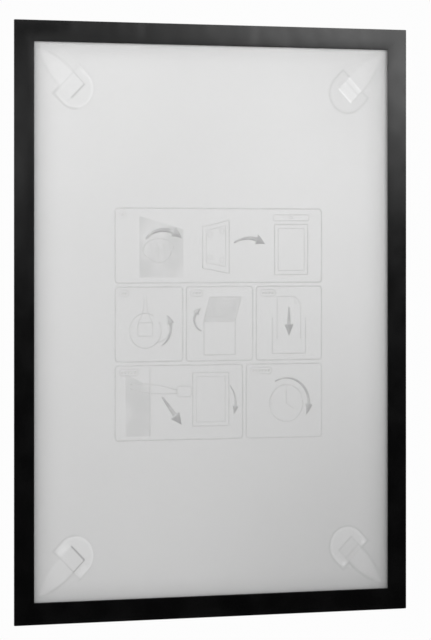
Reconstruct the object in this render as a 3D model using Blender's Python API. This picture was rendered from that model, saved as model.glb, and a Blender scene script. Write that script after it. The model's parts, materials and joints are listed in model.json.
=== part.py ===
"""A self-adhesive sign frame for one A3 sheet, at its real size.

Metres, +Z up. The origin is the centre of the wall plane: the frame hangs in front of it, towards -Y, and
+X is to the right for someone who reads the sign. The rear panel sticks to the wall by four corner fixings
and carries black keeper strips, which make a shallow pocket for the sheet. The cover is a ring of magnetic
strips with a black facing foil in front and a matt window film behind. It is hinged by a tape along its top
edge, and closes onto the keeper strips by itself.
"""

import math

import bmesh
import bpy

# The sheet, and how the band laps over it
SHEET_WIDTH = 0.297
SHEET_HEIGHT = 0.420
SHEET_CLEARANCE = 0.001
SIDE_LAP = 0.002
END_LAP = 0.0035

# The cover, from its front face to its back
BAND_WIDTH = 0.016
FACING_THICKNESS = 0.00025
FACING_CORNER_RADIUS = 0.0008
MAGNET_THICKNESS = 0.0008
MAGNET_SETBACK = 0.0003
FILM_THICKNESS = 0.0002

# The rear body
REAR_SETBACK = 0.001
KEEPER_THICKNESS = 0.0006
PANEL_THICKNESS = 0.0003

# The hinge tape, folded flat between the cover and the rear body
HINGE_LEAF_MARGIN = 0.00125
HINGE_LEAF_THICKNESS = 0.0001
HINGE_LEAF_GAP = 0.0001
HINGE_AXIS_DROP = 0.0002

# The corner fixings, measured along and across the diagonal of each corner
FIXING_INSET = 0.048
PAD_LENGTH = 0.0242
PAD_WIDTH = 0.0295
PAD_END_OFFSET = 0.0072
PAD_THICKNESS = 0.0003
ADHESIVE_LENGTH = 0.0124
ADHESIVE_WIDTH = 0.015
ADHESIVE_THICKNESS = 0.0007
ADHESIVE_CORNER_RADIUS = 0.0006
TAB_LENGTH = 0.0305
TAB_THICKNESS = 0.0003
TAB_TIP_WIDTH = 0.0016
TAB_BULGE = 0.0022

# Clearances: a lamination's glue line, the end gap of butted strips, and the air when the cover is shut
BOND_LINE = 0.0001
BUTT_GAP = 0.0003
CLOSING_GAP = 0.0003

PAD_ARC_STEPS = 36
CORNER_STEPS = 4
TAB_SIDE_STEPS = 12

# Outlines that follow from the sheet
WINDOW_HALF_WIDTH = SHEET_WIDTH / 2 - SIDE_LAP
WINDOW_HALF_HEIGHT = SHEET_HEIGHT / 2 - END_LAP
HALF_WIDTH = WINDOW_HALF_WIDTH + BAND_WIDTH
HALF_HEIGHT = WINDOW_HALF_HEIGHT + BAND_WIDTH
POCKET_HALF_WIDTH = SHEET_WIDTH / 2 + SHEET_CLEARANCE
POCKET_HALF_HEIGHT = SHEET_HEIGHT / 2 + SHEET_CLEARANCE
REAR_HALF_WIDTH = HALF_WIDTH - REAR_SETBACK
REAR_HALF_HEIGHT = HALF_HEIGHT - REAR_SETBACK

# Distances in front of the wall, from the adhesive outwards
ADHESIVE_FRONT = ADHESIVE_THICKNESS
PAD_BACK = ADHESIVE_FRONT + BOND_LINE
PAD_FRONT = PAD_BACK + PAD_THICKNESS
PANEL_BACK = PAD_FRONT + BOND_LINE
PANEL_FRONT = PANEL_BACK + PANEL_THICKNESS
KEEPER_BACK = PANEL_FRONT + BOND_LINE
KEEPER_FRONT = KEEPER_BACK + KEEPER_THICKNESS
FILM_BACK = KEEPER_FRONT + CLOSING_GAP
FILM_FRONT = FILM_BACK + FILM_THICKNESS
MAGNET_BACK = FILM_FRONT + BOND_LINE
MAGNET_FRONT = MAGNET_BACK + MAGNET_THICKNESS
FACING_BACK = MAGNET_FRONT + BOND_LINE
FACING_FRONT = FACING_BACK + FACING_THICKNESS

# The two leaves lie back to back, so the keeper strip under them is thinner than the other three
COVER_LEAF_FRONT = FILM_BACK - BOND_LINE
COVER_LEAF_BACK = COVER_LEAF_FRONT - HINGE_LEAF_THICKNESS
REAR_LEAF_FRONT = COVER_LEAF_BACK - HINGE_LEAF_GAP
REAR_LEAF_BACK = REAR_LEAF_FRONT - HINGE_LEAF_THICKNESS
TOP_KEEPER_FRONT = REAR_LEAF_BACK - BOND_LINE
HINGE_DEPTH = (COVER_LEAF_BACK + REAR_LEAF_FRONT) / 2
HINGE_HEIGHT = HALF_HEIGHT - HINGE_AXIS_DROP

CORNERS = {
    "top_left": (-1, 1),
    "top_right": (1, 1),
    "bottom_left": (-1, -1),
    "bottom_right": (1, -1),
}


def clear_scene():
    """Removes what the scene starts with."""
    for thing in list(bpy.data.objects):
        bpy.data.objects.remove(thing)


def finish_of(name, colour, roughness, alpha=1.0):
    """A plain Principled material; colour is linear red, green and blue."""
    material = bpy.data.materials.new(name)
    material.use_nodes = True
    surface = material.node_tree.nodes["Principled BSDF"]
    surface.inputs["Base Color"].default_value = (*colour, 1.0)
    surface.inputs["Roughness"].default_value = roughness
    surface.inputs["Metallic"].default_value = 0.0
    surface.inputs["Alpha"].default_value = alpha
    return material


def arc(centre, radius, start, end, steps):
    """Points on a circle's arc, from one angle to the other, both ends included."""
    return [
        (
            centre[0] + radius * math.cos(start + (end - start) * i / steps),
            centre[1] + radius * math.sin(start + (end - start) * i / steps),
        )
        for i in range(steps + 1)
    ]


def rounded_rectangle(low, high, radius, steps=CORNER_STEPS):
    """A rectangle's outline with a quarter circle at each corner, anticlockwise from the upper right."""
    quarter = math.pi / 2
    centres = [
        (high[0] - radius, high[1] - radius),
        (low[0] + radius, high[1] - radius),
        (low[0] + radius, low[1] + radius),
        (high[0] - radius, low[1] + radius),
    ]
    outline = []
    for turn, centre in enumerate(centres):
        outline += arc(centre, radius, turn * quarter, (turn + 1) * quarter, steps)
    return outline


def rectangle(low, high):
    """A rectangle's four corners."""
    return [(high[0], high[1]), (low[0], high[1]), (low[0], low[1]), (high[0], low[1])]


def plate(name, outline, back, front, material, pivot=None):
    """A flat piece: its outline, in x and z, drawn out between two distances in front of the wall."""
    mesh = bpy.data.meshes.new(name)
    sheet = bmesh.new()
    face = sheet.faces.new([sheet.verts.new((x, -back, z)) for x, z in outline])
    grown = bmesh.ops.extrude_face_region(sheet, geom=[face])
    raised = [part for part in grown["geom"] if isinstance(part, bmesh.types.BMVert)]
    bmesh.ops.translate(sheet, verts=raised, vec=(0.0, back - front, 0.0))
    bmesh.ops.recalc_face_normals(sheet, faces=sheet.faces)
    sheet.to_mesh(mesh)
    sheet.free()
    piece = bpy.data.objects.new(name, mesh)
    piece.data.materials.append(material)
    bpy.context.scene.collection.objects.link(piece)
    if pivot:
        mesh.transform(pivot.matrix_world.inverted())
        piece.parent = pivot
    return piece


def hinge_pivot():
    """The empty on the fold of the hinge tape, which the cover turns about."""
    pivot = bpy.data.objects.new("cover_pivot", None)
    pivot.location = (0.0, -HINGE_DEPTH, HINGE_HEIGHT)
    bpy.context.scene.collection.objects.link(pivot)
    bpy.context.view_layer.update()
    return pivot


def facing_frame(pivot):
    """The black foil: one ring with small round corners outside and sharp ones inside."""
    foil = finish_of("facing_foil", (0.012, 0.012, 0.013), 0.42)
    high = (HALF_WIDTH, HALF_HEIGHT)
    outline = rounded_rectangle((-high[0], -high[1]), high, FACING_CORNER_RADIUS)
    ring = plate("facing_frame", outline, FACING_BACK, FACING_FRONT, foil, pivot)
    half_window = (WINDOW_HALF_WIDTH, WINDOW_HALF_HEIGHT)
    hole = rectangle((-half_window[0], -half_window[1]), half_window)
    past = FACING_THICKNESS
    cutter = plate("window_cutter", hole, FACING_BACK - past, FACING_FRONT + past, foil, pivot)
    cutter.hide_render = True
    cutter.display_type = "WIRE"
    cut = ring.modifiers.new("window", "BOOLEAN")
    cut.operation = "DIFFERENCE"
    cut.solver = "EXACT"
    cut.object = cutter


def strips_of_ring(names, outer, inner, back, fronts, material, pivot=None):
    """Four butted strips that fill a ring: top and bottom run full width, and the sides fit between them."""
    side_height = inner[1] - BUTT_GAP
    boxes = {
        "top": ((-outer[0], inner[1]), (outer[0], outer[1])),
        "bottom": ((-outer[0], -outer[1]), (outer[0], -inner[1])),
        "left": ((-outer[0], -side_height), (-inner[0], side_height)),
        "right": ((inner[0], -side_height), (outer[0], side_height)),
    }
    for place, (low, high) in boxes.items():
        plate(f"{names}_{place}", rectangle(low, high), back, fronts[place], material, pivot)


def cover_magnets(pivot):
    """Magnetic rubber strips behind the facing, a little inside both of its edges."""
    rubber = finish_of("magnet_rubber", (0.015, 0.014, 0.014), 0.75)
    outer = (HALF_WIDTH - MAGNET_SETBACK, HALF_HEIGHT - MAGNET_SETBACK)
    inner = (WINDOW_HALF_WIDTH + MAGNET_SETBACK, WINDOW_HALF_HEIGHT + MAGNET_SETBACK)
    fronts = dict.fromkeys(("top", "bottom", "left", "right"), MAGNET_FRONT)
    strips_of_ring("cover_magnet", outer, inner, MAGNET_BACK, fronts, rubber, pivot)


def window_film(pivot):
    """The matt film across the whole cover, bonded to the backs of the magnets."""
    film = finish_of("window_film", (0.83, 0.84, 0.85), 0.35, alpha=0.35)
    high = (HALF_WIDTH - MAGNET_SETBACK, HALF_HEIGHT - MAGNET_SETBACK)
    outline = rectangle((-high[0], -high[1]), high)
    plate("window_film", outline, FILM_BACK, FILM_FRONT, film, pivot)


def hinge_tape(pivot):
    """One tape with its fold at the top edge: a leaf on the cover's film and one on the top keeper strip."""
    tape = finish_of("hinge_tape", (0.02, 0.02, 0.02), 0.55)
    top = HINGE_HEIGHT - HINGE_LEAF_GAP / 2
    low = (-REAR_HALF_WIDTH, POCKET_HALF_HEIGHT + HINGE_LEAF_MARGIN)
    outline = rectangle(low, (REAR_HALF_WIDTH, top))
    plate("hinge_leaf_cover", outline, COVER_LEAF_BACK, COVER_LEAF_FRONT, tape, pivot)
    plate("hinge_leaf_rear", outline, REAR_LEAF_BACK, REAR_LEAF_FRONT, tape)


def keeper_strips():
    """Black strips on the rear panel that the magnets hold to; inside them lies the sheet's pocket."""
    keeper = finish_of("keeper_strip", (0.02, 0.02, 0.021), 0.6)
    outer = (REAR_HALF_WIDTH, REAR_HALF_HEIGHT)
    inner = (POCKET_HALF_WIDTH, POCKET_HALF_HEIGHT)
    fronts = dict.fromkeys(("bottom", "left", "right"), KEEPER_FRONT)
    fronts["top"] = TOP_KEEPER_FRONT
    strips_of_ring("keeper_strip", outer, inner, KEEPER_BACK, fronts, keeper)


def rear_panel():
    """The milky panel behind the pocket, which carries everything that stays on the wall."""
    milky = finish_of("rear_panel", (0.62, 0.63, 0.64), 0.5, alpha=0.8)
    high = (REAR_HALF_WIDTH, REAR_HALF_HEIGHT)
    plate("rear_panel", rectangle((-high[0], -high[1]), high), PANEL_BACK, PANEL_FRONT, milky)


def pad_outline():
    """A rectangle with a half-round end, which looks to the middle of the frame. Its square end, on the side
    of +x, looks to the corner."""
    radius = PAD_WIDTH / 2
    middle = (PAD_END_OFFSET - PAD_LENGTH + radius, 0.0)
    round_end = arc(middle, radius, math.pi / 2, math.pi * 3 / 2, PAD_ARC_STEPS)
    return round_end + [(PAD_END_OFFSET, -radius), (PAD_END_OFFSET, radius)]


def tab_outline():
    """A pointed leaf on +x: its root is as wide as the adhesive, and its sides bulge a little."""
    root = PAD_END_OFFSET + BOND_LINE
    upper = []
    for i in range(TAB_SIDE_STEPS + 1):
        along = i / TAB_SIDE_STEPS
        straight = ADHESIVE_WIDTH / 2 + (TAB_TIP_WIDTH - ADHESIVE_WIDTH) / 2 * along
        upper.append((root + TAB_LENGTH * along, straight + 4 * TAB_BULGE * along * (1 - along)))
    return upper[::-1] + [(x, -z) for x, z in upper]


def corner_fixings():
    """In each corner: a clear pad, the adhesive on it, and the tab that draws the adhesive off the wall."""
    clear = finish_of("base_pad", (0.85, 0.86, 0.87), 0.25, alpha=0.5)
    gel = finish_of("adhesive", (0.8, 0.8, 0.79), 0.4)
    tab = finish_of("pull_tab", (0.82, 0.83, 0.84), 0.45)
    adhesive_low = (PAD_END_OFFSET - ADHESIVE_LENGTH, -ADHESIVE_WIDTH / 2)
    adhesive_high = (PAD_END_OFFSET, ADHESIVE_WIDTH / 2)
    adhesive = rounded_rectangle(adhesive_low, adhesive_high, ADHESIVE_CORNER_RADIUS)
    tab_back = (ADHESIVE_THICKNESS - TAB_THICKNESS) / 2
    for corner, (right, up) in CORNERS.items():
        pieces = [
            plate(f"base_pad_{corner}", pad_outline(), PAD_BACK, PAD_FRONT, clear),
            plate(f"adhesive_strip_{corner}", adhesive, 0.0, ADHESIVE_FRONT, gel),
            plate(f"pull_tab_{corner}", tab_outline(), tab_back, tab_back + TAB_THICKNESS, tab),
        ]
        for piece in pieces:
            piece.location = (right * (HALF_WIDTH - FIXING_INSET), 0.0, up * (HALF_HEIGHT - FIXING_INSET))
            piece.rotation_euler = (0.0, -math.atan2(up, right), 0.0)


def build_frame():
    """Clears the scene and makes every piece, the cover's on their pivot."""
    clear_scene()
    pivot = hinge_pivot()
    facing_frame(pivot)
    cover_magnets(pivot)
    window_film(pivot)
    hinge_tape(pivot)
    keeper_strips()
    rear_panel()
    corner_fixings()


build_frame()
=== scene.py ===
# %% [markdown]
# # A self-adhesive sign frame, step by step
# The frame holds one A3 sheet on a smooth wall. A black cover with a matt window hangs by a tape hinge in
# front of a milky rear panel, and four clear pads with stretchable adhesive hold that panel to the wall. The
# solids of the part come ready made and stay where they are. This lesson gives them their finishes, and
# replaces the ones that show with finer shapes worked out by formula.

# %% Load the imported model
import json
import math

import bpy
import numpy as np
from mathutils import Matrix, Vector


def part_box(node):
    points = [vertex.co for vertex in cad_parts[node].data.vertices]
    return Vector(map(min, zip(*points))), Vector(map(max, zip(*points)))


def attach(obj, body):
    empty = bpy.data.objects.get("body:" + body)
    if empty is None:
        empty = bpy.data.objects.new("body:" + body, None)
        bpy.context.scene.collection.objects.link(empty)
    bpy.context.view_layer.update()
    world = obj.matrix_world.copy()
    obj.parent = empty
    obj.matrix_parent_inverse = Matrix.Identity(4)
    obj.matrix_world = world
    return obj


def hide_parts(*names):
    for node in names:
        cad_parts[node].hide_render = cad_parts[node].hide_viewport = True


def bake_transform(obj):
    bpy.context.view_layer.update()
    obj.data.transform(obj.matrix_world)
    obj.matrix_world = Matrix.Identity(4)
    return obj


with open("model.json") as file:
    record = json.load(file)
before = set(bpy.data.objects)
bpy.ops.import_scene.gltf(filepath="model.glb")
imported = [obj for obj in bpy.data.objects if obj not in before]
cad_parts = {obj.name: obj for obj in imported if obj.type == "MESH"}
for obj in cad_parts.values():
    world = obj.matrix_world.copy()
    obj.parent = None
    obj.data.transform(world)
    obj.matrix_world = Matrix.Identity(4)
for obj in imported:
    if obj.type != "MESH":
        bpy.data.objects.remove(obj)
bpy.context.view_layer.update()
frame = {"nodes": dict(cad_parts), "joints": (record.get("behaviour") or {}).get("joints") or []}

MM = 0.001
nodes = frame["nodes"]

# %% [markdown]
# ## The camera
# The picture was taken from the left, level with the upper half of the frame. Upright edges stay parallel in
# it, as with a lens that is shifted and not tilted. So the camera is level too, turned 25 degrees, and its
# shift moves the view down. A long lens from three metres away gives the weak perspective.

# %% Set the camera
IMAGE_HEIGHT_PX = 640
FOCAL_LENGTH_PX = 3799
PRINCIPAL_POINT_PX = 249.0
SENSOR_MM = 36
CAMERA_PLACE = (-1.210, -2.588, 0.054)
CAMERA_TURN = 25.10


def new_object(name, data):
    """A new object, linked into the scene."""
    thing = bpy.data.objects.new(name, data)
    bpy.context.scene.collection.objects.link(thing)
    return thing


camera_data = bpy.data.cameras.new("camera")
camera_data.sensor_width = SENSOR_MM
camera_data.lens = FOCAL_LENGTH_PX * SENSOR_MM / IMAGE_HEIGHT_PX
camera_data.shift_y = (PRINCIPAL_POINT_PX - IMAGE_HEIGHT_PX / 2) / IMAGE_HEIGHT_PX
camera = new_object("camera", camera_data)
camera.location = CAMERA_PLACE
camera.rotation_euler = (math.radians(90), 0, -math.radians(CAMERA_TURN))
bpy.context.scene.camera = camera
print("lens in mm:", round(camera_data.lens, 1), "| shift:", round(camera_data.shift_y, 4))

# %% [markdown]
# ## Meshes from arrays
# Every new piece below is a grid of points. A function works out the whole grid at once with numpy, and one
# helper turns it into a mesh. To be sure that the faces point outwards, the helper adds up the signed volume
# under them, and turns them all round if the sum is negative.


# %% Helpers for grids
def joined(*parts):
    """Points or faces from their separate coordinates. A single number serves them all."""
    return np.stack(np.broadcast_arrays(*parts), axis=-1)


def left_of(along):
    """The unit vector to the left of each given one."""
    return joined(-along[:, 1], along[:, 0]) / np.linalg.norm(along, axis=1, keepdims=True)


def grid_faces(rows, columns, wrap_rows=False, wrap_columns=False):
    """Quads between neighbouring points of a grid: (i, j), (i, j+1), (i+1, j+1), (i+1, j). A grid that
    wraps joins its last row or column to its first."""
    i = np.arange(rows if wrap_rows else rows - 1)[:, None]
    j = np.arange(columns if wrap_columns else columns - 1)[None, :]
    down, right = (i + 1) % rows, (j + 1) % columns
    corners = joined(i * columns + j, i * columns + right, down * columns + right, down * columns + j)
    return corners.reshape(-1, 4)


def signed_volume(points, faces):
    """Six times the volume under the faces: each fan triangle's first corner, dotted with the cross
    product of the other two."""
    total = 0.0
    for block in faces:
        first = points[block[:, 0]]
        for k in range(1, block.shape[1] - 1):
            total += np.einsum("ij,ij->", first, np.cross(points[block[:, k]], points[block[:, k + 1]]))
    return total


def make_piece(name, points, faces, material, body, finish_slot, replaced=()):
    """Makes a closed mesh, hangs it on its body and hides the solids it stands for."""
    points = np.asarray(points, float).reshape(-1, 3)
    if signed_volume(points, faces) < 0:
        faces = [block[:, ::-1] for block in faces]
    mesh = bpy.data.meshes.new(name)
    mesh.from_pydata(points.tolist(), [], [face for block in faces for face in block.tolist()])
    mesh.shade_smooth()
    mesh.materials.append(material)
    piece = new_object(name, mesh)
    if body:
        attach(piece, body)
    if replaced:
        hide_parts(*replaced)
    print(f"{name}: {len(mesh.vertices)} points, {len(mesh.polygons)} faces")
    return piece


def in_front(depth):
    """The y of a point that is so many metres in front of the wall."""
    return -np.asarray(depth, float)


# %% [markdown]
# ## Materials from nodes
# A finish here is one Principled shader. Values that are the same all over go straight onto the shader's
# sockets. Whatever varies, such as grain, smudges and worn edges, is a sum of noises and distances, worked
# out from the Object coordinates, which are metres in the frame's own axes, so the grain has its real scale
# on every piece. A Field is a node's output that takes plus and minus signs like a number, so a formula in a
# finish reads as it would for an array, and the same function can serve for both.


# %% Fields
class Field:
    """A node's output in a formula: each sign makes one Math node."""

    def __init__(self, tree, output):
        self.tree = tree
        self.output = output

    def into(self, kind, socket=0):
        """A new node of that kind, with this output on one of its sockets."""
        node = self.tree.nodes.new("ShaderNode" + kind)
        self.tree.links.new(self.output, node.inputs[socket])
        return node

    def math(self, operation, *others):
        node = self.into("Math")
        node.operation = operation
        for other, socket in zip(others, node.inputs[1:]):
            if isinstance(other, Field):
                self.tree.links.new(other.output, socket)
            else:
                socket.default_value = other
        return Field(self.tree, node.outputs[0])

    def __add__(self, other):
        return self.math("ADD", other)

    def __sub__(self, other):
        return self.math("SUBTRACT", other)

    def __rsub__(self, other):
        return self.math("MULTIPLY_ADD", -1.0, other)

    def __mul__(self, other):
        return self.math("MULTIPLY", other)

    def __truediv__(self, other):
        return self.math("DIVIDE", other)

    def __abs__(self):
        return self.math("ABSOLUTE")

    __rmul__ = __mul__


def larger(first, second):
    """The larger of the two, for a Field or an array."""
    return first.math("MAXIMUM", second) if isinstance(first, Field) else np.maximum(first, second)


def smaller(first, second):
    """The smaller of the two, for a Field or an array."""
    return first.math("MINIMUM", second) if isinstance(first, Field) else np.minimum(first, second)


def length_of(first, second):
    """The square root of the sum of the two squares."""
    total = first * first + second * second
    return total.math("SQRT") if isinstance(total, Field) else np.sqrt(total)


def ramp(value, start, end, low=0.0, high=1.0):
    """Low until the value reaches start, high from end on, and between them low + (high - low) t^2
    (3 - 2 t), where t is the share of the way."""
    if not isinstance(value, Field):
        t = np.clip((value - start) / (end - start), 0, 1)
        return low + (high - low) * t * t * (3 - 2 * t)
    node = value.into("MapRange")
    node.interpolation_type = "SMOOTHSTEP"
    for socket, number in zip(("From Min", "From Max", "To Min", "To Max"), (start, end, low, high)):
        node.inputs[socket].default_value = number
    return Field(value.tree, node.outputs["Result"])


# %% Helpers for finishes
def coordinates(tree, kind="Object"):
    """The coordinates of that kind, as one vector."""
    return Field(tree, tree.nodes.new("ShaderNodeTexCoord").outputs[kind])


def new_finish(name, colour, roughness, **sockets):
    """A Principled material with plain values on its sockets, its shader, and the Object coordinates as a
    Field. Colour is linear. Where a formula feeds a socket later, its plain value is about the average."""
    material = bpy.data.materials.new(name)
    material.use_nodes = True
    shader = material.node_tree.nodes["Principled BSDF"]
    shader.inputs["Base Color"].default_value = (*colour, 1.0)
    shader.inputs["Roughness"].default_value = roughness
    for socket, value in sockets.items():
        shader.inputs[socket.replace("_", " ")].default_value = value
    return material, shader, coordinates(material.node_tree)


def grey(level):
    """A neutral colour."""
    return (level,) * 3


def parts_of(vector):
    """The x, y and z of a vector."""
    return [Field(vector.tree, output) for output in vector.into("SeparateXYZ").outputs]


def speckle(place, size, detail=2.0, stretch=(1, 1, 1)):
    """Noise from 0 to 1 whose blots are about so many metres wide, drawn out along an axis by stretch."""
    spread = place.into("Mapping")
    spread.inputs["Scale"].default_value = [1 / part for part in stretch]
    noise = Field(place.tree, spread.outputs[0]).into("TexNoise")
    noise.inputs["Scale"].default_value = 1 / size
    noise.inputs["Detail"].default_value = detail
    return Field(place.tree, noise.outputs["Fac"])


def feed(shader, socket, field):
    """Links a field to one of the shader's sockets."""
    field.tree.links.new(field.output, shader.inputs[socket])


def blend_base(shader, share, first, second):
    """Base colour: the first at share 0, the second at 1. A Mix node takes its two colours at inputs 6 and 7
    and gives the mixed one at output 2."""
    node = share.into("Mix")
    node.data_type = "RGBA"
    node.inputs[6].default_value = (*first, 1.0)
    node.inputs[7].default_value = (*second, 1.0)
    feed(shader, "Base Color", Field(share.tree, node.outputs[2]))


def vary_roughness(shader, noise, low, high):
    """Roughness from low to high over 0.3 to 0.7, between which nearly all values of a noise lie."""
    feed(shader, "Roughness", ramp(noise, 0.3, 0.7, low, high))


def relief(shader, height):
    """Turns the shader's normal as hills of that height, in millimetres, would."""
    bump = height.into("Bump", "Height")
    bump.inputs["Distance"].default_value = MM
    bump.inputs["Strength"].default_value = 1.0
    feed(shader, "Normal", Field(height.tree, bump.outputs["Normal"]))


# %% [markdown]
# ## Black facing foil
# The band is a die-cut foil on magnetic strips: black, satin, with a very fine grain. It mirrors a soft lamp
# as a broad glow, so its roughness is low for a plastic but not a gloss. Faint smudges vary it, and shallow
# dents from the glue under it, taller than wide, break the glow into blots. It also bows a little over the
# strip below, which turns the glow darker towards the edges. Where the blade has cut, a hair of the edge is
# paler.

# %% Foil finish
facing_low, facing_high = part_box("facing_frame")
HALF_WIDTH, HALF_HEIGHT = facing_high[0], facing_high[2]
FACING_FRONT, FACING_BACK = -facing_low[1], -facing_high[1]
BAND_WIDTH = 16 * MM
WINDOW_HALF_WIDTH, WINDOW_HALF_HEIGHT = HALF_WIDTH - BAND_WIDTH, HALF_HEIGHT - BAND_WIDTH
FOIL_BLACK, CUT_GREY = (0.0017, 0.0017, 0.0018), grey(0.055)
# heights in millimetres
GRAIN_HEIGHT, DENT_HEIGHT, BOW_HEIGHT = 0.0022, 0.31, 0.045

foil, shader, place = new_finish("black_foil", FOIL_BLACK, 0.22, Specular_IOR_Level=0.45)
x, _, z = parts_of(place)
smudges = speckle(place, 26 * MM, detail=3)
dents = speckle(place, 22 * MM, detail=1, stretch=(1, 1, 1.8))
grain = speckle(place, 0.5 * MM, detail=2)
from_side, from_end = HALF_WIDTH - abs(x), HALF_HEIGHT - abs(z)
from_edge = smaller(from_side, from_end)
# -1 at the outer edge, 0 along the middle of the band, 1 at the opening
across_band = from_side.math("SMOOTH_MIN", from_end, 8 * MM) * (2 / BAND_WIDTH) - 1.0
outer_cut = ramp(from_edge, 0.1 * MM, 0.45 * MM, 1.0, 0.0)
inner_cut = ramp(from_edge, BAND_WIDTH - 0.3 * MM, BAND_WIDTH - 0.1 * MM)
worn = (outer_cut + inner_cut) * speckle(place, 3 * MM, detail=4)
vary_roughness(shader, smudges, 0.19, 0.26)
blend_base(shader, worn, FOIL_BLACK, CUT_GREY)
relief(shader, grain * GRAIN_HEIGHT + dents * DENT_HEIGHT - across_band * across_band * BOW_HEIGHT)
print("foil nodes:", len(place.tree.nodes))

# %% [markdown]
# ## The facing ring
# The ring is one profile carried round a rectangle. The profile goes along the back, up the outer cut, over
# the front and down the inner cut, with a rounding of a twentieth of a millimetre on each front edge. A foil
# that is glued onto strips is never dead flat: it crowns a little across the band and waves along it, and the
# glow of the lamp shows both. Its opening sits a hair high, so the upper part of the band is a little
# narrower than the lower one.


# %% Ring surface
def turn_round(half_width, half_height, radius, corner_steps, side_steps):
    """One anticlockwise turn round a rectangle with quarter-circle corners. The three sizes may be columns,
    one row per inset. Corner points are centre + radius (cos, sin); side points divide the line between two
    corners evenly."""
    quarter = np.arange(4)[:, None] * np.pi / 2 + np.linspace(0, np.pi / 2, corner_steps + 1)
    right, up = np.array([1, -1, -1, 1])[:, None], np.array([1, 1, -1, -1])[:, None]
    x = right * (half_width - radius) + radius * np.cos(quarter)
    z = up * (half_height - radius) + radius * np.sin(quarter)
    share = np.linspace(0, 1, side_steps + 1)[1:-1]

    def with_side(values):
        start, end = values[..., -1:], np.roll(values, -1, axis=-2)[..., :1]
        return np.concatenate([values, start + (end - start) * share], axis=-1)

    x, z = with_side(x), with_side(z)
    return x.reshape(*x.shape[:-2], -1), z.reshape(*z.shape[:-2], -1)


def wave(x, z, waves):
    """A sum of plane waves: each adds height * sin(2 pi (x along + z up) / length + phase)."""
    total = np.zeros(np.broadcast(x, z).shape)
    for height, length, angle, phase in waves:
        total += height * np.sin(2 * np.pi * (x * math.cos(angle) + z * math.sin(angle)) / length + phase)
    return total


CROWN = 0.17 * MM
CUT_ROUNDING = 0.05 * MM
OUTER_RADIUS, INNER_RADIUS = 0.8 * MM, 0.9 * MM
CUT_DEPTH = 0.03 * MM
OPENING_RISE = 0.4 * MM
WAVE_ROOM = 0.030 * MM
FOIL_WAVES = [
    (0.011 * MM, 0.083, 0.4, 0.7),
    (0.007 * MM, 0.049, 1.3, 2.1),
    (0.012 * MM, 0.131, 2.2, 4.0),
]

turn = np.linspace(0, np.pi / 2, 6)
first_across = CUT_ROUNDING * 1.8
across = np.linspace(first_across, BAND_WIDTH - first_across, 21)
crown = CROWN * (1 - (2 * across / BAND_WIDTH - 1) ** 2)
rounding_in, rounding_out = CUT_ROUNDING * (1 - np.cos(turn)), CUT_ROUNDING * (1 - np.sin(turn))
edge_front = FACING_FRONT - CROWN - WAVE_ROOM
edge_back = FACING_BACK - CUT_ROUNDING
inset = np.concatenate([
    across[::-1], [CUT_DEPTH, 0], rounding_in, across, BAND_WIDTH - rounding_in[::-1],
    [BAND_WIDTH, BAND_WIDTH - CUT_DEPTH],
])
depth = np.concatenate([
    (edge_back + crown * 0.5)[::-1], [edge_back, edge_back + CUT_DEPTH], edge_front - rounding_out,
    edge_front + crown, (edge_front - rounding_out)[::-1], [edge_back + CUT_DEPTH, edge_back],
])
radius = OUTER_RADIUS + (INNER_RADIUS - OUTER_RADIUS) * inset / BAND_WIDTH
column = (slice(None), None, None)
ring_x, ring_z = turn_round(
    (HALF_WIDTH - inset)[column], (HALF_HEIGHT - inset)[column], radius[column],
    corner_steps=6, side_steps=90)
ring_z = ring_z + OPENING_RISE * (inset / BAND_WIDTH)[:, None]
# the profile starts with the back and the outer cut, which have no waves
on_front = (np.arange(len(depth)) > len(across) + 1)[:, None]
ring_depth = depth[:, None] + on_front * wave(ring_x, ring_z, FOIL_WAVES)
make_piece(
    "facing_ring", joined(ring_x, in_front(ring_depth), ring_z),
    [grid_faces(len(inset), ring_x.shape[1], wrap_rows=True, wrap_columns=True)],
    foil, "cover", "facing_foil", ["facing_frame"],
)

# %% [markdown]
# ## Window film
# The window is a matt anti-glare film, glued behind the strips over its whole rim. It lets the rear panel
# through and lays a thin grey veil over it. Each of its two faces is mostly see-through (a low alpha), and
# its rough gloss spreads the lamp into a wide bloom. The glue on the rim takes its haze away, so it looks
# nearly as black there as the strips. It is a thin closed sheet, slack by a few hundredths of a millimetre in
# the opening.


# %% Film finish and film
def thick_sheet(front, back):
    """A closed skin from two grids of the same shape: the front quads, the back quads, and a strip of quads
    along each of the four rims."""
    rows, columns = front.shape[:2]
    index = np.arange(rows * columns).reshape(rows, columns)
    rim = np.concatenate([index[0, :], index[1:, -1], index[-1, -2::-1], index[-2:0:-1, 0]])
    following, to_back = np.roll(rim, -1), rows * columns
    front_faces = grid_faces(rows, columns)
    faces = [
        front_faces, front_faces[:, ::-1] + to_back,
        joined(following, rim, rim + to_back, following + to_back),
    ]
    return np.concatenate([front.reshape(-1, 3), back.reshape(-1, 3)]), faces


FILM_GREY, BONDED_GREY = grey(0.81), grey(0.08)
# heights in millimetres
PEARL_HEIGHT, HAZE_HEIGHT = 0.012, 0.15

film_finish, shader, place = new_finish("matt_window_film", FILM_GREY, 0.42, Alpha=0.13)
x, _, z = parts_of(place)
haze = speckle(place, 45 * MM, detail=4)
pearls = speckle(place, 0.35 * MM, detail=1)
bonded = ramp(larger(abs(x) - WINDOW_HALF_WIDTH, abs(z) - WINDOW_HALF_HEIGHT), 0.3 * MM, 1.2 * MM)
blend_base(shader, bonded, FILM_GREY, BONDED_GREY)
vary_roughness(shader, haze, 0.40, 0.47)
relief(shader, pearls * PEARL_HEIGHT + haze * HAZE_HEIGHT)

film_low, film_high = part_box("window_film")
FILM_WAVES = [(0.030 * MM, 0.310, 1.1, 0.3), (0.022 * MM, 0.190, 0.2, 1.9), (0.010 * MM, 0.090, 2.4, 5.0)]
FILM_HOLD = 20 * MM
FILM_COLUMNS, FILM_ROWS = 90, 120


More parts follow.
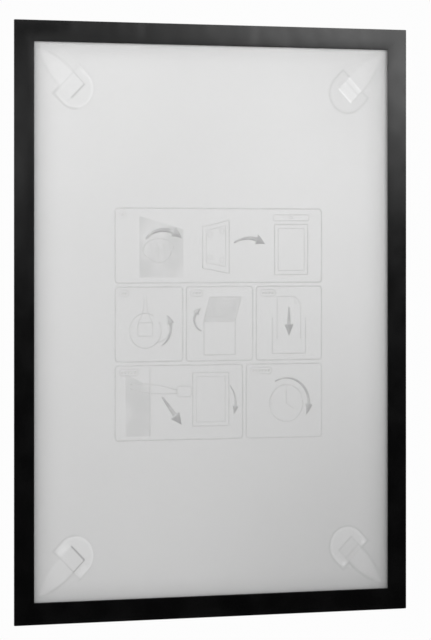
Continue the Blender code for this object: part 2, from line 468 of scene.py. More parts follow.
def free_share(x, z, hold):
    """0 beside the strips and 1 at so many metres from them, a straight rise along each axis."""
    aside = np.clip((WINDOW_HALF_WIDTH - np.abs(x)) / hold, 0, 1)
    return aside * np.clip((WINDOW_HALF_HEIGHT - np.abs(z)) / hold, 0, 1)


film_x, film_z = np.meshgrid(
    np.linspace(film_low[0], film_high[0], FILM_COLUMNS), np.linspace(film_low[2], film_high[2], FILM_ROWS))
slack = wave(film_x, film_z, FILM_WAVES) * free_share(film_x, film_z, FILM_HOLD)
film_front, film_back = (joined(film_x, face + slack, film_z) for face in (film_low[1], film_high[1]))
make_piece(
    "window_sheet", *thick_sheet(film_front, film_back),
    film_finish, "cover", "window_film", ["window_film"])

# %% [markdown]
# ## Magnetic strips and keeper strips
# Magnetic rubber is matt and almost black, with a fine rolled grain along the strip. The keeper strips on the
# rear panel are the same kind of strip filled with iron, a shade greyer, with fine glitter. Both keep their
# solids and only get a finish.


# %% Strip finishes
def strip_finish(name, colour, spark, roughness):
    """Matt rubber: a grain drawn out along x and z, and specks of a paler colour, which are smoother."""
    material, shader, place = new_finish(name, colour, roughness)
    specks = ramp(speckle(place, 0.4 * MM, detail=3), 0.58, 0.72)
    blend_base(shader, specks, colour, spark)
    feed(shader, "Roughness", ramp(specks, 0, 1, roughness, roughness - 0.15))
    relief(shader, speckle(place, 0.5 * MM, stretch=(4, 1, 4)) * 0.06)
    return material


magnet_rubber = strip_finish("magnet_rubber", (0.013, 0.0125, 0.0125), (0.03, 0.029, 0.028), 0.72)
keeper_rubber = strip_finish("keeper_rubber", (0.018, 0.018, 0.019), (0.06, 0.06, 0.062), 0.6)
for side in ("top", "bottom", "left", "right"):
    for node, material in ((f"cover_magnet_{side}", magnet_rubber), (f"keeper_strip_{side}", keeper_rubber)):
        nodes[node].data.materials.clear()
        nodes[node].data.materials.append(material)
print("strip finishes:", magnet_rubber.name, keeper_rubber.name)

# %% [markdown]
# ## Hinge tape
# The cover hangs on one strip of black film tape that is folded at the top edge: one leaf is stuck to the
# cover, the other to the rear panel's upper strip. In the solids it is two stiff leaves, because a solid
# can't fold. Here it is one film with a round fold.

# %% Tape finish and tape
tape_finish, shader, place = new_finish("hinge_film_tape", (0.012, 0.012, 0.0125), 0.45)
weave = speckle(place, 0.6 * MM, detail=2, stretch=(6, 1, 1))
vary_roughness(shader, weave, 0.40, 0.55)
relief(shader, weave * 0.03)

rear_leaf_low, rear_leaf_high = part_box("hinge_leaf_rear")
cover_leaf_low, cover_leaf_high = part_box("hinge_leaf_cover")
axis_z = frame["joints"][0]["pos_m"][2]
tape_x = np.linspace(rear_leaf_low[0], rear_leaf_high[0], 80)


def folded(outside):
    """One face of the tape, from the rear leaf's foot over the fold to the cover leaf's foot: a straight,
    half a circle about the hinge line, a straight. Outside is the face away from the fold's inside."""
    rear_y = rear_leaf_high[1] if outside else rear_leaf_low[1]
    cover_y = cover_leaf_low[1] if outside else cover_leaf_high[1]
    bend = np.linspace(0, np.pi, 17)
    middle, reach = (rear_y + cover_y) / 2, (rear_y - cover_y) / 2
    climb = np.linspace(rear_leaf_low[2], axis_z, 9)[:-1]
    section_y = np.concatenate([
        np.full(climb.size, rear_y), middle + reach * np.cos(bend), np.full(climb.size, cover_y)])
    section_z = np.concatenate([climb, axis_z + reach * np.sin(bend), climb[::-1]])
    return joined(tape_x, section_y[:, None], section_z[:, None])


tape = make_piece(
    "hinge_tape", *thick_sheet(folded(True), folded(False)), tape_finish, None, "hinge_tape",
    ["hinge_leaf_rear", "hinge_leaf_cover"])
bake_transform(tape)

# %% [markdown]
# ## Corner fixings
# Each corner has a clear pad with one half-round end, stuck to the back of the panel. On it sits a block of
# stretch-release adhesive, and a pointed tab runs from the adhesive towards the corner. The three shapes are
# outlines in the diagonal's own axes: u runs out to the corner, v across it. A plate with rounded edges is
# grown from each outline.

# %% Fixing finishes
pad_finish, shader, place = new_finish("clear_pad", grey(0.81), 0.16, Alpha=0.45)
ripple = speckle(place, 9 * MM, detail=2)
vary_roughness(shader, ripple, 0.12, 0.24)
relief(shader, ripple * 0.08)

gel_finish, shader, place = new_finish(
    "stretch_adhesive", (0.74, 0.74, 0.72), 0.42, Subsurface_Weight=0.25, Subsurface_Scale=0.002)
pores = speckle(place, 0.7 * MM, detail=3)
blend_base(shader, pores, (0.70, 0.70, 0.68), (0.80, 0.80, 0.78))
relief(shader, pores * 0.05)

tab_finish, shader, place = new_finish("tab_film", grey(0.77), 0.38)
threads = speckle(place, 0.8 * MM, detail=3)
blend_base(shader, threads, grey(0.73), grey(0.81))
relief(shader, threads * 0.04)
print("fixing finishes:", pad_finish.name, gel_finish.name, tab_finish.name)

# %% Fixing outlines
FIXING_INSET = 48 * MM
FIXING_X, FIXING_Z = HALF_WIDTH - FIXING_INSET, HALF_HEIGHT - FIXING_INSET
PAD_CENTRE, PAD_RADIUS, PAD_EDGE = -2.25 * MM, 14.75 * MM, 7.2 * MM
BLOCK_LOW, BLOCK_HIGH, BLOCK_HALF_WIDTH = -5.2 * MM, 7.2 * MM, 7.5 * MM
BLOCK_MIDDLE, BLOCK_HALF_LENGTH = (BLOCK_LOW + BLOCK_HIGH) / 2, (BLOCK_HIGH - BLOCK_LOW) / 2
TAB_ROOT, TAB_LENGTH, TAB_TIP_HALF, TAB_BULGE = 7.3 * MM, 30.5 * MM, 0.8 * MM, 2.2 * MM


def leaf_half_width(t):
    """Half the tab's width at share t of its length: a straight taper from the block's half width to the
    tip's, plus 4 bulge t (1 - t)."""
    return t * (TAB_TIP_HALF - BLOCK_HALF_WIDTH) + BLOCK_HALF_WIDTH + (1.0 - t) * t * 4 * TAB_BULGE


def pad_outline():
    """Half a circle about (PAD_CENTRE, 0) from v = radius over its far side to v = -radius, then the square
    end: along v = -radius to u = PAD_EDGE, up it, and back."""
    angle = np.linspace(np.pi / 2, np.pi * 3 / 2, 61)
    arc = joined(PAD_CENTRE + PAD_RADIUS * np.cos(angle), PAD_RADIUS * np.sin(angle))
    side = joined(np.linspace(PAD_CENTRE, PAD_EDGE, 9)[1:], -PAD_RADIUS)
    end = joined(PAD_EDGE, np.linspace(-1, 1, 19)[1:-1] * PAD_RADIUS)
    return np.concatenate([arc, side, end, (side * [1, -1])[::-1]])


def block_outline():
    """A rectangle with small round corners."""
    u, v = turn_round(BLOCK_HALF_LENGTH, BLOCK_HALF_WIDTH, 0.8 * MM, corner_steps=5, side_steps=12)
    return joined(u + BLOCK_MIDDLE, v)


def tab_outline():
    """The leaf's lower side, half a circle round the tip, the upper side and the root."""
    t = np.linspace(0, 1, 26)
    lower = joined(TAB_ROOT + (TAB_LENGTH - TAB_TIP_HALF) * t, -leaf_half_width(t))
    turn = np.linspace(-np.pi / 2, np.pi / 2, 9)[1:-1]
    tip = joined(TAB_ROOT + TAB_LENGTH - TAB_TIP_HALF * (1 - np.cos(turn)), TAB_TIP_HALF * np.sin(turn))
    foot = joined(TAB_ROOT, np.linspace(1, -1, 15)[1:-1] * BLOCK_HALF_WIDTH)
    return np.concatenate([lower, tip, (lower * [1, -1])[::-1], foot])


# %% Plates and corners
def plate_of(outline, back, front, edge, to_frame):
    """A plate with quarter-round edges. Row by row the outline is drawn in by edge (1 - sin) or (1 - cos) of
    a quarter turn while the depth goes from back to front. Two rows further in keep each face flat up to its
    rounding, and a fan of triangles closes it."""
    turn = np.linspace(0, np.pi / 2, 5)
    draw_in = edge * np.concatenate([[3.0, 1.5], 1 - np.sin(turn), 1 - np.cos(turn), [1.5, 3.0]])
    depth = np.concatenate([
        [back, back], back + edge * (1 - np.cos(turn)), front - edge * (1 - np.sin(turn)), [front, front]])
    along = np.roll(outline, -1, axis=0) - np.roll(outline, 1, axis=0)
    rows = outline + draw_in[:, None, None] * left_of(along)
    centre = np.broadcast_to(outline.mean(axis=0), (2, 2))
    flat = to_frame(np.concatenate([rows.reshape(-1, 2), centre]))
    depths = np.concatenate([np.repeat(depth, len(outline)), [back, front]])
    points = joined(flat[:, 0], in_front(depths), flat[:, 1])
    count, last = len(outline), (len(depth) - 1) * len(outline)
    ring = np.arange(count)
    following = (ring + 1) % count
    back_centre, front_centre = len(points) - 2, len(points) - 1
    fans = [joined(following, ring, back_centre), joined(last + ring, last + following, front_centre)]
    return points, [grid_faces(len(depth), count, wrap_columns=True), *fans]


def corner_frame(right, up):
    """From (u, v) on a corner's diagonal to (x, z): the centre plus (u right - v right, u up + v up) over
    root 2, so that positive v is always the side towards the top or bottom edge."""
    def to_frame(uv):
        u, v = uv.T
        x, z = right * (FIXING_X + (u - v) * math.sqrt(0.5)), up * (FIXING_Z + (u + v) * math.sqrt(0.5))
        return joined(x, z)
    return to_frame


CORNERS = {"top_left": (-1, 1), "top_right": (1, 1), "bottom_left": (-1, -1), "bottom_right": (1, -1)}
SHAPES = {
    "base_pad": (pad_outline(), 0.09 * MM, pad_finish, "base_pad"),
    "adhesive_strip": (block_outline(), 0.15 * MM, gel_finish, "adhesive"),
    "pull_tab": (tab_outline(), 0.09 * MM, tab_finish, "pull_tab"),
}
for corner, (right, up) in CORNERS.items():
    for node, (outline, edge, material, finish_slot) in SHAPES.items():
        low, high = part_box(f"{node}_{corner}")
        plate = plate_of(outline, -high[1], -low[1], edge, corner_frame(right, up))
        make_piece(f"{node}_{corner}_soft", *plate, material, "rear", finish_slot, [f"{node}_{corner}"])

# %% [markdown]
# ## Ghosts of the fixings
# What is stuck behind the milky panel shows through it as ghosts, and these also carry painted light and
# shade. The clear pad wets the panel's back, so it looks a little lighter there, with a painted highlight rim
# along its round end and painted shadow lines round it. The edges of the adhesive block and of the tab show
# as thin lines of painted shade and painted highlight, and beside the block lie soft blots of painted
# highlight. All of them are distances to the outlines above. The same functions serve the finish, where x and
# z are Fields, and the relief, where they are arrays. Each ghost has an amount of its own in each corner,
# which sets its painted light and shade there: the share by which it makes the panel's grey lighter, or
# darker where it is negative.


# %% Distances to the outlines
def diagonal_place(x, z):
    """u and v of a point. The absolute values of x and z fold the four corners onto one."""
    aside, above = abs(x) - FIXING_X, abs(z) - FIXING_Z
    return (aside + above) * math.sqrt(0.5), (above - aside) * math.sqrt(0.5)


def pad_distance(u, v):
    """Metres outside the pad, negative inside it: beyond the circle, or beyond the square end."""
    return larger(length_of(smaller(u - PAD_CENTRE, 0.0), v) - PAD_RADIUS, u - PAD_EDGE)


def block_distance(u, v):
    """Metres outside the block: the larger of the two axes' own distances."""
    return larger(abs(u - BLOCK_MIDDLE) - BLOCK_HALF_LENGTH, abs(v) - BLOCK_HALF_WIDTH)


def tab_distance(u, v):
    """Metres outside the tab: sideways from the leaf, or before its root and beyond its tip."""
    leaf = leaf_half_width((u - TAB_ROOT) / TAB_LENGTH)
    middle = TAB_ROOT + TAB_LENGTH / 2
    return larger(abs(v) - leaf, abs(u - middle) - TAB_LENGTH / 2)


# %% Panel finish
PANEL_GREY = 0.785
# how far from the middle the sides' amounts run into each other
MEETING = 20 * MM

panel_finish, shader, place = new_finish(
    "milky_panel", grey(PANEL_GREY), 0.5, Coat_Weight=1.0, Coat_Roughness=0.36, Coat_IOR=1.7)
x, _, z = parts_of(place)
u, v = diagonal_place(x, z)
pad, block, tab = pad_distance(u, v), block_distance(u, v), tab_distance(u, v)
leaf = leaf_half_width((u - TAB_ROOT) / TAB_LENGTH)
upward = ramp(z, -MEETING, MEETING)


def by_corner(top_left, top_right, bottom_left, bottom_right):
    """An amount of its own in each corner, which sets a ghost's painted light and shade there."""
    below = ramp(x, -MEETING, MEETING, bottom_left, bottom_right)
    over = ramp(x, -MEETING, MEETING, top_left, top_right)
    return below + (over - below) * upward


def inside(distance, blur):
    """1 inside an outline and 0 outside it, over a blur in metres."""
    return ramp(distance, -blur / 2, blur / 2, 1.0, 0.0)


def line_at(distance, half_width):
    """1 where the distance is nothing, fading to 0 half a line's width away on either side."""
    return ramp(abs(distance), 0.0, half_width, 1.0, 0.0)


beside_block = inside(abs(v) - BLOCK_HALF_WIDTH, 1.2 * MM)
along_block = inside(abs(u - BLOCK_MIDDLE) - BLOCK_HALF_LENGTH, 1.2 * MM)
# the tab's sides fade out over the farther half of its length
fading = ramp(u, TAB_ROOT + 0.55 * TAB_LENGTH, TAB_ROOT + TAB_LENGTH, 1.0, 0.2)
along_tab = ramp(u, TAB_ROOT - MM, TAB_ROOT + MM) * fading
# each ghost's mask, and its amount of painted light and shade in the corners top left, top right, bottom left
# and bottom right
GHOSTS_AND_PAINTED_LIGHT = (
    (inside(pad, 0.8 * MM), (0.01, -0.02, 0.10, 0.09)),
    # a painted highlight rim along the pad's round end
    (line_at(pad + 1.1 * MM, 1.8 * MM) * ramp(u, 2 * MM, 7 * MM, 1.0, 0.0), (0.09, 0.0, 0.08, 0.07)),
    # painted shadow lines round the pad
    (line_at(pad - 0.5 * MM, 1.6 * MM) * inside(-1.0 * tab, 0.8 * MM), (-0.05, -0.14, -0.06, -0.11)),
    (line_at(pad - 0.1 * MM, 1.8 * MM) * inside(v + 9 * MM, 3 * MM), (-0.14, 0.0, -0.10, 0.0)),
    # the block, lighter in the top right as painted highlight and a little darker in the lower corners as
    # painted shade
    (inside(block, 0.6 * MM), (0.02, 0.16, -0.03, -0.05)),
    # painted shade and painted highlight along the block's edges
    (line_at(u - BLOCK_LOW, 1.3 * MM) * beside_block, (-0.36, 0.26, -0.60, -0.14)),
    (line_at(v - BLOCK_HALF_WIDTH, 0.9 * MM) * along_block, (-0.22, 0.0, -0.50, -0.10)),
    (line_at(v + BLOCK_HALF_WIDTH, 0.9 * MM) * along_block, (0.0, -0.14, 0.0, -0.12)),
    (line_at(u - BLOCK_HIGH, 0.9 * MM) * beside_block, (-0.08, 0.20, -0.14, 0.0)),
    (line_at(u - 3.4 * MM, 1.3 * MM) * beside_block, (0.0, -0.12, 0.0, -0.10)),
    # soft blots of painted highlight beside the block
    (line_at(length_of(u - 5.1 * MM, abs(v) - 11.6 * MM), 2.6 * MM), (0.0, 0.0, 0.04, 0.22)),
    (line_at(length_of((u - 1.0 * MM) * 0.6, (v + 10.3 * MM) * 1.4), 5.5 * MM), (0.0, 0.0, 0.17, 0.0)),
    (line_at(length_of((u - 1.0 * MM) * 0.5, v - 12.0 * MM), 3.2 * MM), (0.03, 0.0, 0.10, 0.04)),
    (inside(tab, 0.8 * MM), (0.05, 0.04, 0.07, 0.06)),
    # painted shade along the tab's sides
    (line_at(v - leaf, 2.0 * MM) * along_tab, (-0.08, 0.0, -0.15, -0.14)),
    (line_at(v + leaf, 2.0 * MM) * along_tab, (-0.06, -0.09, 0.0, -0.09)),
)
level = speckle(place, 90 * MM, detail=2) * 0.04 + 0.98
for mask, amounts in GHOSTS_AND_PAINTED_LIGHT:
    level = level + mask * by_corner(*amounts)

# %% [markdown]
# ## Painted shade and light on the panel
# The panel's grey also carries painted shade and painted light. Along the black strips it is painted darker,
# as the shade of the strips: by most within a few millimetres of the two long sides, by less in a fringe all
# round. Right at the upper strip it is painted lighter instead, and at the lower one darker again. Wide soft
# patches paint light right of the middle and shade in the two corners on the right. Each shade is an amount
# that fades with a distance.

# %% Painted shade and light on the panel
from_side, from_end = WINDOW_HALF_WIDTH - abs(x), WINDOW_HALF_HEIGHT - abs(z)
# each painted shade: the distance, where it is full and where it ends, and its amount, which is positive
# where light is painted
PAINTED_LIGHT_AND_SHADE = [
    (from_side, -2 * MM, 8 * MM, -0.18),
    (from_side, 0.0, 25 * MM, -0.12),
    (from_end, -2 * MM, 4 * MM, ramp(z, -MEETING, MEETING, -0.12, 0.14)),
    (smaller(from_side, from_end), 0.0, 16 * MM, ramp(x, -100 * MM, 100 * MM, -0.15, -0.09)),
    (from_end, 0.0, 40 * MM, -0.03),
]
# a patch of painted light, or of painted shade where the amount is negative: its middle, its radius and its
# amount
PAINTED_PATCHES = ((0.085, 0.075, 0.16, 0.09), (0.150, -0.215, 0.20, -0.16), (0.150, 0.215, 0.11, -0.085))
for patch_x, patch_z, radius, amount in PAINTED_PATCHES:
    PAINTED_LIGHT_AND_SHADE.append((length_of(x - patch_x, z - patch_z), 0.0, radius, amount))
for distance, full, end, amount in PAINTED_LIGHT_AND_SHADE:
    level = level + ramp(distance, full, end, 1.0, 0.0) * amount
panel_colour = level.tree.nodes.new("ShaderNodeVectorMath")
panel_colour.operation = "SCALE"
panel_colour.inputs[0].default_value = grey(PANEL_GREY)
level.tree.links.new(level.output, panel_colour.inputs["Scale"])
feed(shader, "Base Color", Field(level.tree, panel_colour.outputs["Vector"]))
relief(shader, speckle(place, 0.5 * MM) * 0.01)
print("panel nodes:", len(level.tree.nodes))

# %% [markdown]
# ## The panel's relief
# The thin panel drapes a little over what is stuck behind it: about a tenth of a millimetre over a pad and
# again over the adhesive block. Side light picks that out. A grid of points has to be fine there and can be
# coarse elsewhere, so its lines stand closer together over the fixings.


# %% Embossed panel
# each outline's step: its height and half its width
STEPS = (
    (pad_distance, 0.10 * MM, 0.8 * MM),
    (block_distance, 0.12 * MM, 0.7 * MM),
    (tab_distance, 0.08 * MM, 0.9 * MM),
)
FINE_STEP, COARSE_STEP = 0.6 * MM, 10 * MM
FINE_BEFORE, FINE_BEYOND = 18 * MM, 29 * MM


def fixing_relief(x, z):
    """Height over a corner's fixing: a smooth step at each outline."""
    u, v = diagonal_place(x, z)
    return sum(height * ramp(-distance(u, v), -blur, blur) for distance, height, blur in STEPS)


def lines_of_grid(half, middle):
    """Grid lines from -half to half: a fine step apart over a fixing whose middle is given, a coarse one
    elsewhere."""
    stops = [0, middle - FINE_BEFORE, middle + FINE_BEYOND, half]
    right = []
    for start, end, step in zip(stops, stops[1:], (COARSE_STEP, FINE_STEP, COARSE_STEP)):
        count = max(round((end - start) / step), 1)
        right.extend(np.linspace(start, end, count + 1)[1:])
    return np.concatenate([-np.flip(right), [0.0], right])


PANEL_WAVES = [(0.030 * MM, 0.260, 0.8, 1.0), (0.020 * MM, 0.150, 2.0, 3.3)]
PANEL_HOLD = 15 * MM
BACK_SHARE = 0.4


def panel_slack(x, z):
    """The panel's own long waves, which die out before the strips."""
    return wave(x, z, PANEL_WAVES) * free_share(x, z, PANEL_HOLD)


panel_low, panel_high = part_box("rear_panel")
panel_x, panel_z = np.meshgrid(
    lines_of_grid(panel_high[0], FIXING_X), lines_of_grid(panel_high[2], FIXING_Z))
panel_wave, raised = panel_slack(panel_x, panel_z), fixing_relief(panel_x, panel_z)
panel_front = joined(panel_x, panel_low[1] - raised + panel_wave, panel_z)
panel_back = joined(panel_x, panel_high[1] - raised * BACK_SHARE + panel_wave, panel_z)
make_piece(
    "milky_rear_panel", *thick_sheet(panel_front, panel_back),
    panel_finish, "rear", "rear_panel", ["rear_panel"])

# %% [markdown]
# ## The instruction print
# Such a panel carries a pale grey guide. This one is generic: boxes with plain drawings of how a frame is
# used, which are wipe and level, stick, open, fill, take off and wait. Step numbers are dots, so there is no
# lettering. Each line is a ribbon of ink that stands two hundredths of a millimetre proud of the panel: four
# corners of a flat section, carried along a path that a formula gives.


# %% Inks
def ink(name, colour, paler, blot):
    """Grey screen ink, matt, which varies between two greys in blots of that size."""
    material, shader, place = new_finish(name, colour, 0.62)
    share = ramp(speckle(place, blot, detail=3), 0.35, 0.7)
    blend_base(shader, share, colour, paler)
    relief(shader, speckle(place, 1.5 * MM) * 0.01)
    return material


tint_ink = ink("tint_ink", grey(0.66), grey(0.78), 26 * MM)
line_ink = ink("line_ink", grey(0.65), grey(0.735), 9 * MM)
arrow_ink = ink("arrow_ink", grey(0.49), grey(0.62), 8 * MM)
print("inks:", tint_ink.name, line_ink.name, arrow_ink.name)


# %% Strokes
def path(origin, *stops):
    """A broken line through stops that count from the origin, with a point every tenth of each stretch."""
    stops = np.array(stops) + origin
    share = np.linspace(0, 1, 11)[:, None]
    parts = [start + (end - start) * share for start, end in zip(stops, stops[1:])]
    return np.concatenate([parts[0]] + [part[1:] for part in parts[1:]])


def loop(origin, *stops):
    """The same, closed."""
    return path(origin, *stops, stops[0])


def bow(start, end, sag, count=25):
    """The straight line plus sag * 4 t (1 - t) to its left."""
    t = np.linspace(0, 1, count)[:, None]
    return start + (end - start) * t + left_of((end - start)[None]) * sag * 4 * t * (1 - t)


def round_line(centre, radius, first=0, last=360, flat=1.0, count=49):
    """An arc: centre + radius (cos, flat sin), between two angles in degrees."""
    angle = np.radians(np.linspace(first, last, count))
    return centre + radius * joined(np.cos(angle), flat * np.sin(angle))


def box_line(centre, width, height, corner=2.5):
    """A rectangle with round corners that ends where it starts."""
    points = joined(*turn_round(width / 2, height / 2, corner, corner_steps=6, side_steps=8)) + centre
    return np.concatenate([points, points[:1]])


thin, thick, tint = [], [], []


def draw(half_width, *paths):
    """Adds thin strokes of one half width."""
    thin.extend((points, np.full(len(points), half_width)) for points in paths)


def arrow(points, half_width, tail=0.45, head=2.5, head_share=0.28):
    """Adds an arrow: a shaft that widens from tail times its width to the whole, and a head that narrows to
    a point. Two of its points lie close together at the neck, where the width jumps."""
    share, neck = np.linspace(0, 1, len(points)), 1 - head_share
    t = np.sort(np.append(share, [neck - 0.003, neck + 0.003]))
    spread = joined(*[np.interp(t, share, points[:, axis]) for axis in (0, 1)])
    shaft = half_width * (tail + (1 - tail) * t / neck)
    point = half_width * head * (1 - t) / head_share
    thick.append((spread, np.where(t <= neck, shaft, np.maximum(point, 0.05))))


def ink_ribbon(points, half_width, back, front):
    """The path's left and right edges, each at the back and the front depth, as a tube with two end caps."""
    spread = left_of(np.gradient(points, axis=0)) * half_width[:, None]
    rows = []
    for side, depth in ((1, back), (1, front), (-1, front), (-1, back)):
        edge = (points + side * spread) * MM
        rows.append(joined(edge[:, 0], in_front(depth), edge[:, 1]))
    count = len(points)
    caps = np.arange(4) * count
    faces = [grid_faces(4, count, wrap_rows=True), caps[None], caps[None, ::-1] + count - 1]
    return np.concatenate(rows), faces


def printed(parts):
    """Several closed meshes as one, which follows the waves of the panel."""
    points, faces, offset = [], [], 0
    for some, blocks in parts:
        points.append(some)
        faces += [block + offset for block in blocks]
        offset += len(some)
    points = np.concatenate(points)
    points[:, 1] += panel_slack(points[:, 0], points[:, 2])
    return points, faces


# %% Boxes
# all in millimetres
PRINT_CENTRE, PRINT_WIDTH, BOX_HEIGHT, BOX_GAP, DOT_STEP = (5.0, -2.0), 171.5, 55.7, 3.0, 2.6
ROW_SHARES = [(1,), (1, 1, 1), (1.65, 1)]
boxes = []
for row, shares in enumerate(ROW_SHARES):
    widths = np.array(shares) / sum(shares) * (PRINT_WIDTH - BOX_GAP * (len(shares) - 1))
    lefts = PRINT_CENTRE[0] - PRINT_WIDTH / 2 + np.concatenate([[0], np.cumsum(widths + BOX_GAP)[:-1]])
    level_z = PRINT_CENTRE[1] + (1 - row) * (BOX_HEIGHT + BOX_GAP)
    boxes += [(np.array((left + width / 2, level_z)), width) for left, width in zip(lefts, widths)]

for number, (centre, width) in enumerate(boxes, start=1):
    first = centre + (-width / 2 + 6, BOX_HEIGHT / 2 - 5)
    spread = DOT_STEP * (number - 1)
    draw(0.5, box_line(centre, width, BOX_HEIGHT))
    draw(0.3, box_line(first + (spread / 2, 0), 5 + spread, 5, 2.4))
    draw(0.45, *[round_line(first + (DOT_STEP * dot, 0), 0.45, count=13) for dot in range(number)])
print("boxes:", len(boxes), "| strokes so far:", len(thin))

# %% Drawings
wide, fixing, opened, filled, pulled, waited = [centre for centre, width in boxes]

# wiping the wall: a cloth, its folds and the sweep of it
tint.append(np.array([(-66, -24), (-30, -24), (-30, 12), (-66, 22)]) + wide)
cloth = wide + (-50, -4)
draw(0.35, round_line(cloth, 13, 20, 200, 0.7), bow(cloth + (-12, -3), cloth + (12, 3), -9))
draw(0.25, *[bow(cloth + (-8 + 5 * fold, 6), cloth + (-6 + 5 * fold, -5), 1.6) for fold in range(4)])
arrow(round_line(cloth + (4, 2), 17, 150, 30, 0.8), 1.9, head=2.0)
# the frame, turned, and the same frame on the wall with a level above it
draw(0.4, loop(wide, (-14, -17), (8, -21), (8, 19), (-14, 14)))
draw(0.28, loop(wide, (-11, -13), (5, -16), (5, 15), (-11, 11)))
draw(0.25, *[round_line(wide + spot, 1.9, count=21) for spot in ((-8, -9), (2, -11), (-8, 8), (2, 11))])
arrow(bow(wide + (12, 2), wide + (38, 1), 4), 1.6)
draw(0.45, box_line(wide + (60, -3), 28, 38, 0.6))
draw(0.28, box_line(wide + (60, -3), 22, 32, 0.4))
draw(0.35, box_line(wide + (60, 21), 30, 4.4, 1.2))
draw(0.3, round_line(wide + (60, 21), 1.3, flat=0.7))
# one fixing, large: pad, adhesive, tab, and the liner peeled off it
round_pad = fixing + (-3, -5)
draw(0.35, round_line(round_pad, 13, 60, 390, count=60))
draw(0.3, box_line(round_pad + (0, 1), 12, 10, 0.8))
draw(0.3, *[bow(round_pad + (6 * side, 6), round_pad + (side, 24), 1.5 * side) for side in (-1, 1)])
draw(0.3, bow(round_pad + (8, -9), round_pad + (20, 6), -5))
arrow(round_line(round_pad + (6, 2), 15, -60, 40), 1.2)
# the cover swung up on its hinge, and an arrow round the hinge
tint.append(np.array([(-13, 2), (13, 2), (18, 20), (-8, 20)]) + opened)
draw(0.4, box_line(opened + (0, -11), 26, 25, 0.5))
draw(0.4, path(opened, (-13, 2), (-8, 20), (18, 20), (13, 2)))
draw(0.25, loop(opened, (-9, 5), (-5, 17), (13, 17), (9, 5)))
arrow(round_line(opened + (-12, 3), 9, 250, 110), 1.1)
# the sheet let down into the frame
draw(0.45, path(filled, (-14, 4), (-14, -23), (14, -23), (14, 4)))
draw(0.3, path(filled, (-10, -12), (-10, 20), (5, 20), (10, 15), (10, -12)))
draw(0.25, path(filled, (5, 20), (5, 15), (10, 15)))
arrow(path(filled, (0, 12), (0, -10)), 1.5, head_share=0.4)
# taking it off: the tab is drawn out, slowly and along the wall
tint.append(np.array([(-44, -25), (-24, -25), (-24, 12), (-44, 22)]) + pulled)
draw(0.3, path(pulled, (-24, 25), (-24, -25)))
draw(0.35, bow(pulled + (-40, 14), pulled + (-2, 9), 2), bow(pulled + (-40, 11), pulled + (-2, 7), -2))
draw(0.35, box_line(pulled + (4, 8), 12, 8, 2.4))
draw(0.4, box_line(pulled + (26, 2), 30, 40, 0.6))
draw(0.25, box_line(pulled + (26, 2), 24, 34, 0.4))
arrow(path(pulled, (-14, 4), (2, -17)), 1.8, head_share=0.35)
arrow(bow(pulled + (42, 12), pulled + (45, -10), 3), 1.0)
# waiting: a dial with two hands and the time that goes by
dial = waited + (2, -2)
draw(0.4, round_line(dial, 14), path(dial, (0, 0), (0, 10)), path(dial, (0, 0), (6, -4)))
TICKS = np.array([(1, 0), (0, 1), (-1, 0), (0, -1)])
draw(0.3, *[path(dial, 11.5 * tick, 13 * tick) for tick in TICKS])
arrow(round_line(dial, 19, 120, -30), 1.2, head_share=0.18)
print("thin strokes:", len(thin), "| arrows:", len(thick), "| tints:", len(tint))

# %% Print pieces
PANEL_FRONT = -panel_low[1]
SUNK, TINT_FILM, INK_FILM = 0.05 * MM, 0.014 * MM, 0.024 * MM
tints = [
    plate_of(area * MM, PANEL_FRONT - SUNK, PANEL_FRONT + TINT_FILM, 0.004 * MM, lambda flat: flat)
    for area in tint
]
make_piece("print_tints", *printed(tints), tint_ink, "rear", "rear_panel")
for name, strokes, material in (("print_lines", thin, line_ink), ("print_arrows", thick, arrow_ink)):
    ribbons = [ink_ribbon(*stroke, PANEL_FRONT - SUNK, PANEL_FRONT + INK_FILM) for stroke in strokes]
    make_piece(name, *printed(ribbons), material, "rear", "rear_panel")

# %% [markdown]
# ## Floor, background and light
# The frame hangs in front of a white background. What shows in the black band is the mirror image of soft
# lamps that stand where the camera's line of sight goes after the band has turned it back. The key lamp and
# its brighter upper part light the band's upper right, a dimmer pair its middle, and a low and a high lamp
# its left. Two more lamps fill from the upper left and from behind. The world gives the plain fill. To the
# camera, and to gloss that looks past the frame, it is the white background; gloss that looks the other way
# sees the dim room in front, which keeps the black band black. The floor is pale. To the camera, and in gloss
# and glass, it also glows a little, so that it looks as pale as it is without more light on the frame.

# %% Floor
FLOOR = -0.9
FLOOR_CORNERS = [(-2, -1.7, FLOOR), (2, -1.7, FLOOR), (2, 1.8, FLOOR), (-2, 1.8, FLOOR)]
FLOOR_GLOW = 0.36


def ray_kinds(tree):
    """1 or 0 for a glossy ray, and 1 or 0 for one from the camera, also through glass."""
    outputs = tree.nodes.new("ShaderNodeLightPath").outputs
    names = "Is Glossy Ray", "Is Camera Ray", "Is Transmission Ray"
    glossy, seen, through = [Field(tree, outputs[name]) for name in names]
    return glossy, larger(seen, through)


floor_finish, shader, place = new_finish("pale_floor", grey(0.78), 0.7)
clouds = speckle(place, 0.2)
blend_base(shader, clouds, grey(0.76), grey(0.80))
glossy, direct = ray_kinds(clouds.tree)
feed(shader, "Emission Strength", larger(direct, glossy) * FLOOR_GLOW)

plane = bpy.data.meshes.new("floor")
plane.from_pydata(FLOOR_CORNERS, [], [(0, 1, 2, 3)])
plane.materials.append(floor_finish)
new_object("floor", plane)
print("floor nodes:", len(clouds.tree.nodes))


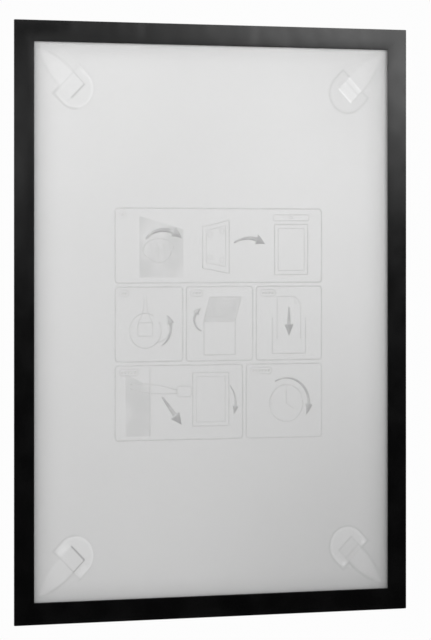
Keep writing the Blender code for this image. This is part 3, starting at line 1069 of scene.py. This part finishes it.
# %% Lights
def softbox(name, place, toward, width, height, radiance):
    """A rectangular lamp at a place, turned to a target. A lamp that shines with a radiance has the power
    radiance * pi * area."""
    lamp = bpy.data.lights.new(name, "AREA")
    lamp.shape = "RECTANGLE"
    lamp.size, lamp.size_y = width, height
    lamp.energy = radiance * math.pi * width * height
    thing = new_object(name, lamp)
    direction = np.array(place, float) - np.array(toward, float)
    level = math.hypot(direction[0], direction[1])
    thing.location = place
    thing.rotation_euler = (math.atan2(level, direction[2]), 0, math.atan2(direction[0], -direction[1]))
    thing.visible_camera = False
    print(f"{name}: {width:.2f} by {height:.2f} m, {lamp.energy:.2f} W")


MIRROR_TURN = math.radians(25)
MIRROR_REACH = 1.1


def mirrored_softbox(name, left, right, low, high, radiance):
    """A softbox that faces the band along the camera's mirrored line of sight: left and right along the plate
    that stands across that line, low and high above the middle of the frame."""
    out = np.array([math.sin(MIRROR_TURN), -math.cos(MIRROR_TURN)])
    along = np.array([math.cos(MIRROR_TURN), math.sin(MIRROR_TURN)])
    centre = out * MIRROR_REACH + along * (left + right) / 2
    height = (low + high) / 2
    softbox(name, (*centre, height), (*(centre - out), height), right - left, high - low, radiance)


# name, left, right, low, high and radiance
MIRRORED_LAMPS = (
    ("key_softbox", 0.03, 0.50, 0.168, 0.65, 3.75),
    ("key_core", 0.23, 0.50, 0.265, 0.65, 2.9),
    ("middle_softbox", -0.115, 0.03, 0.12, 0.60, 0.78),
    ("middle_core", -0.115, 0.03, 0.34, 0.60, 0.7),
    ("left_softbox_low", -0.50, -0.17, 0.105, 0.22, 1.6),
    ("left_softbox_high", -0.50, -0.15, 0.38, 0.60, 0.62),
)
for lamp in MIRRORED_LAMPS:
    mirrored_softbox(*lamp)
softbox("upper_left_fill", (-0.6, -0.6, 0.5), (0, 0, 0.1), 0.8, 0.8, 3.4)
softbox("rear_fill", (0.9, 1.6, 0.8), (0, 0, 0.05), 1.2, 1.2, 2.6)

# %% World
ROOM_FILL, ROOM_GLOSS, WHITE = 0.356, 0.004, 0.98
DIM_TO, WHITE_FROM = -0.05, 0.30

world = bpy.data.worlds.new("studio")
world.use_nodes = True
bpy.context.scene.world = world
tree = world.node_tree
background = tree.nodes["Background"]
glossy, direct = ray_kinds(tree)
# a direction's y is -1 towards the dim room in front of the frame and 1 towards what is behind it
_, behind, _ = parts_of(coordinates(tree, "Generated"))
in_gloss = ramp(behind, DIM_TO, WHITE_FROM, ROOM_GLOSS, WHITE)
bounced = (1.0 - glossy) * ROOM_FILL + glossy * in_gloss
feed(background, "Strength", (1.0 - direct) * bounced + direct * WHITE)
background.inputs["Color"].default_value = (1, 1, 1, 1)
bpy.context.scene.view_settings.view_transform = "Standard"
print("world nodes:", len(tree.nodes))
